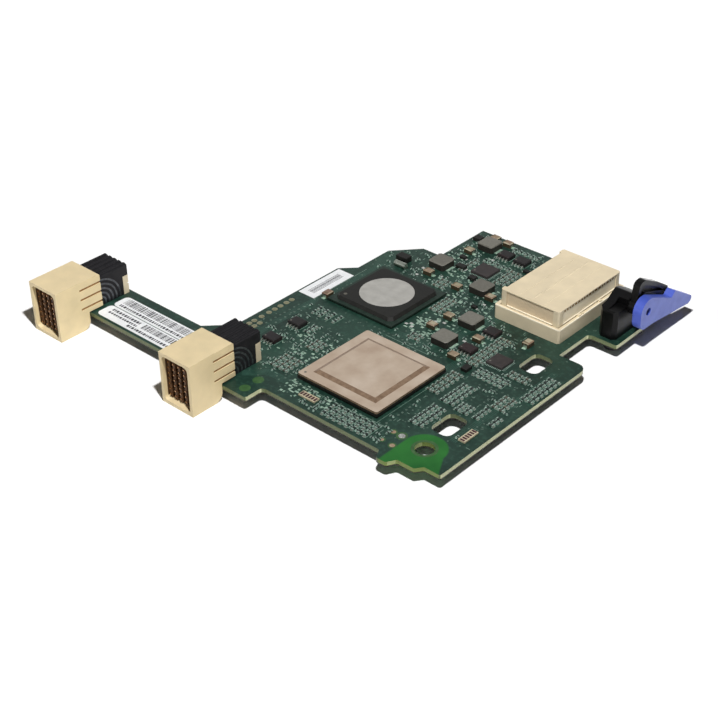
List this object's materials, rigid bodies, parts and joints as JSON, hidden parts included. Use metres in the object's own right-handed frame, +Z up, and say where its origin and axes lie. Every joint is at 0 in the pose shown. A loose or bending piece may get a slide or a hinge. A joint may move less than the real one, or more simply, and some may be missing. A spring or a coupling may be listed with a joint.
{
  "type": "blade server mezzanine adapter card",
  "caption": "Stepped green expansion card for a blade server, with ivory midplane headers on an arm, a mezzanine connector, lidded processors and a hinged blue release lever.",
  "frame": {"origin": "bottom centre of the whole card's bounding box, on the surface that the card stands on", "axes": "+X along the card's long side, from the arm with the headers towards the lever; +Y from the headers' mouths towards the back edge; +Z up, out of the board's component side"},
  "size_m": [0.1638, 0.1422, 0.0228],
  "materials": {
    "solder_mask_green": "satin",
    "ivory_plastic": "satin",
    "black_plastic": "satin",
    "gold_contact": "polished",
    "tinned_metal": "satin",
    "nickel_lid": "satin",
    "aluminium_disc": "satin",
    "ferrite_grey": "matte",
    "tan_moulding": "satin",
    "ceramic_tan": "matte",
    "ceramic_grey": "matte",
    "ceramic_cream": "matte",
    "label_white": "matte",
    "blue_plastic": "gloss",
    "dark_steel": "satin"
  },
  "bodies": {
    "card": {"circuit_board": "solder_mask_green", "left_header_housing": "ivory_plastic", "left_header_wafer_1": "black_plastic", "left_header_wafer_2": "black_plastic", "left_header_wafer_3": "black_plastic", "left_header_wafer_4": "black_plastic", "left_header_wafer_5": "black_plastic", "left_header_spacer": "ivory_plastic", "left_header_blades": "gold_contact", "left_header_tails": "tinned_metal", "right_header_housing": "ivory_plastic", "right_header_wafer_1": "black_plastic", "right_header_wafer_2": "black_plastic", "right_header_wafer_3": "black_plastic", "right_header_wafer_4": "black_plastic", "right_header_wafer_5": "black_plastic", "right_header_spacer": "ivory_plastic", "right_header_blades": "gold_contact", "right_header_tails": "tinned_metal", "mezzanine_base": "ivory_plastic", "mezzanine_blades": "gold_contact", "mezzanine_cap": "ivory_plastic", "lidded_chip_balls": "tinned_metal", "lidded_chip_substrate": "black_plastic", "lidded_chip_lid": "nickel_lid", "disc_chip_balls": "tinned_metal", "disc_chip_substrate": "solder_mask_green", "disc_chip_mould": "black_plastic", "disc_chip_slug": "aluminium_disc", "power_inductors": "ferrite_grey", "small_outline_packages": "black_plastic", "small_outline_leads": "tinned_metal", "flat_packages": "black_plastic", "tantalum_capacitors": "tan_moulding", "chip_capacitors": "ceramic_tan", "chip_resistors": "ceramic_grey", "resistor_arrays": "ceramic_cream", "underside_capacitors": "ceramic_tan", "fuse_block": "black_plastic", "crystal_can": "tinned_metal", "transistor": "black_plastic", "arm_label_front": "label_white", "arm_label_rear": "label_white", "side_label": "label_white", "lever_bracket": "black_plastic", "lever_pin": "dark_steel", "bracket_screws": "dark_steel"},
    "lever": {"release_lever": "blue_plastic"}
  },
  "joints": [
    {"name": "lever_pivot", "type": "hinge", "parent": "card", "child": "lever", "pos_m": [0.0804, 0.04469, 0.01414], "axis": [1, 0, 0], "range_deg": [0, 75]}
  ]
}
